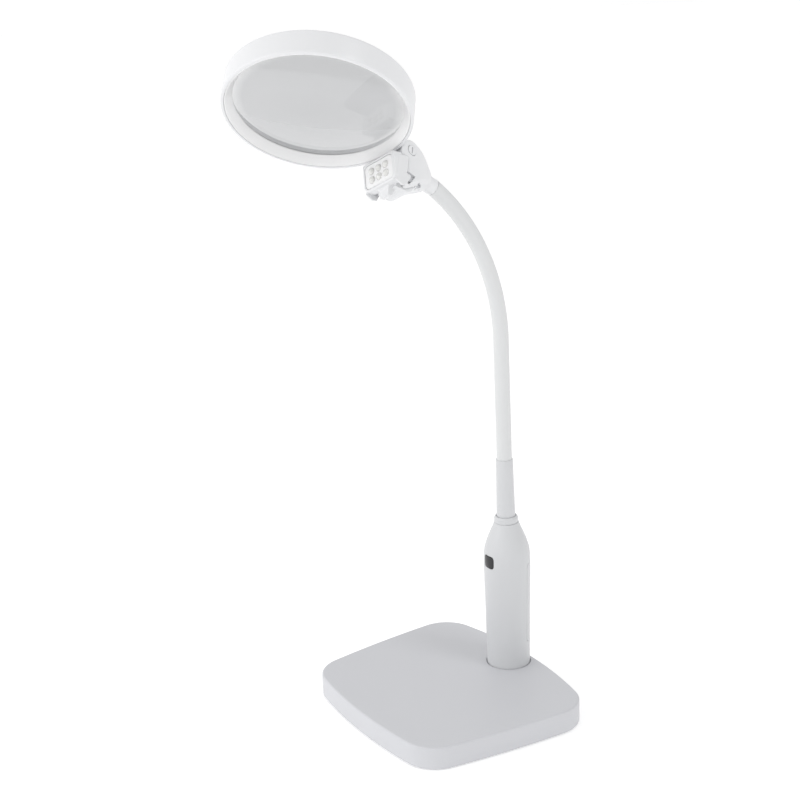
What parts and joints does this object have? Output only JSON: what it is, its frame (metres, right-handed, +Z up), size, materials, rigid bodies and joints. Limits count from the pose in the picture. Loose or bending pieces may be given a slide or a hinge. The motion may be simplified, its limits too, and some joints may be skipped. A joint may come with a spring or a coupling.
{
  "type": "magnifying lamp",
  "caption": "Desk magnifying lamp: weighted base, battery post with push switch, gooseneck, hinged ring with a large clear lens and a tilting light pod.",
  "frame": {"origin": "centre of the base's footprint, on the floor, at the middle of the foam pad's underside", "axes": "+Z up; the front of the lamp, where the head reaches out, is towards -Y; +X is to the right of somebody who looks along +Y"},
  "size_m": [0.1778, 0.2149, 0.4915],
  "materials": {
    "foam_pad": "matt closed-cell foam",
    "base_shell": "satin moulded, very fine texture",
    "post_shell": "satin moulded",
    "head_shell": "semi-gloss moulded",
    "neck_skin": "smooth satin skin",
    "switch_black": "semi-gloss",
    "inner_black": "matt",
    "weight_steel": "raw plate",
    "steel_parts": "zinc plated",
    "cell_wrap": "plain wrapped cell",
    "board_green": "circuit board",
    "lens_clear": "polished clear",
    "led_clear": "clear moulded light"
  },
  "bodies": {
    "stand": {"base_pad": "foam_pad", "base_plate": "base_shell", "base_weight": "weight_steel", "base_cover": "base_shell", "base_screws": "steel_parts", "post_screws": "steel_parts", "post_housing": "post_shell", "battery_tray": "inner_black", "batteries": "cell_wrap", "battery_springs": "steel_parts", "battery_contacts": "steel_parts", "control_board": "board_green", "switch_body": "inner_black", "neck_collar": "post_shell", "neck_sleeve": "post_shell", "neck_root": "neck_skin"},
    "button": {"switch_button": "switch_black"},
    "door": {"battery_door": "post_shell"},
    "link_1": {"neck_link_1": "neck_skin"},
    "link_2": {"neck_link_2": "neck_skin"},
    "link_3": {"neck_link_3": "neck_skin"},
    "link_4": {"neck_link_4": "neck_skin"},
    "link_5": {"neck_link_5": "neck_skin"},
    "link_6": {"neck_link_6": "neck_skin"},
    "link_7": {"neck_link_7": "neck_skin", "neck_ferrule": "steel_parts"},
    "head": {"yoke_left": "head_shell", "yoke_right": "head_shell", "yoke_screws": "steel_parts", "ring_hinge_screw": "steel_parts", "ring_hinge_nut": "steel_parts", "ring_hinge_washers": "steel_parts", "pod_pin": "steel_parts"},
    "ring": {"lens_ring": "head_shell", "lens": "lens_clear", "lens_retainer": "head_shell"},
    "pod": {"pod_housing": "head_shell", "pod_face": "head_shell", "led_board": "board_green", "leds": "led_clear"}
  },
  "joints": [
    {"name": "neck_bend_1", "type": "hinge", "parent": "stand", "child": "link_1", "pos_m": [0, 0.05868, 0.18999], "axis": [1, 0, 0], "range_deg": [-25, 25]},
    {"name": "neck_sway_1", "type": "hinge", "parent": "link_1", "child": "link_2", "pos_m": [0, 0.05825, 0.22199], "axis": [0, 0.9999, 0.0136], "range_deg": [-25, 25]},
    {"name": "neck_bend_2", "type": "hinge", "parent": "link_2", "child": "link_3", "pos_m": [0, 0.05781, 0.25399], "axis": [1, 0, 0], "range_deg": [-25, 25]},
    {"name": "neck_sway_2", "type": "hinge", "parent": "link_3", "child": "link_4", "pos_m": [0, 0.05648, 0.28594], "axis": [0, 0.9926, 0.1217], "range_deg": [-22, 22]},
    {"name": "neck_bend_3", "type": "hinge", "parent": "link_4", "child": "link_5", "pos_m": [0, 0.04929, 0.31706], "axis": [1, 0, 0], "range_deg": [-30, 18]},
    {"name": "neck_sway_3", "type": "hinge", "parent": "link_5", "child": "link_6", "pos_m": [0, 0.03577, 0.346], "axis": [0, 0.8566, 0.516], "range_deg": [-20, 20]},
    {"name": "neck_bend_4", "type": "hinge", "parent": "link_6", "child": "link_7", "pos_m": [0, 0.01651, 0.37148], "axis": [1, 0, 0], "range_deg": [-30, 18]},
    {"name": "head_swivel", "type": "hinge", "parent": "link_7", "child": "head", "pos_m": [0, 0.00321, 0.38408], "axis": [0, -0.8434, 0.5373], "range_deg": [-120, 60]},
    {"name": "ring_tilt", "type": "hinge", "parent": "head", "child": "ring", "pos_m": [-0.00283, -0.02147, 0.40579], "axis": [-0.8721, -0.2629, -0.4127], "range_deg": [-8, 80]},
    {"name": "pod_tilt", "type": "hinge", "parent": "head", "child": "pod", "pos_m": [0.00743, -0.03007, 0.3896], "axis": [0.8721, 0.2629, 0.4127], "range_deg": [-4, 25]},
    {"name": "power_button", "type": "slide", "parent": "stand", "child": "button", "axis": [0, 1, 0], "range_m": [0, 0.0015], "stiffness_N_per_m": 400, "springref_m": -0.001},
    {"name": "door_pull", "type": "slide", "parent": "stand", "child": "door", "axis": [0, 1, 0], "range_m": [0, 0.03]}
  ]
}
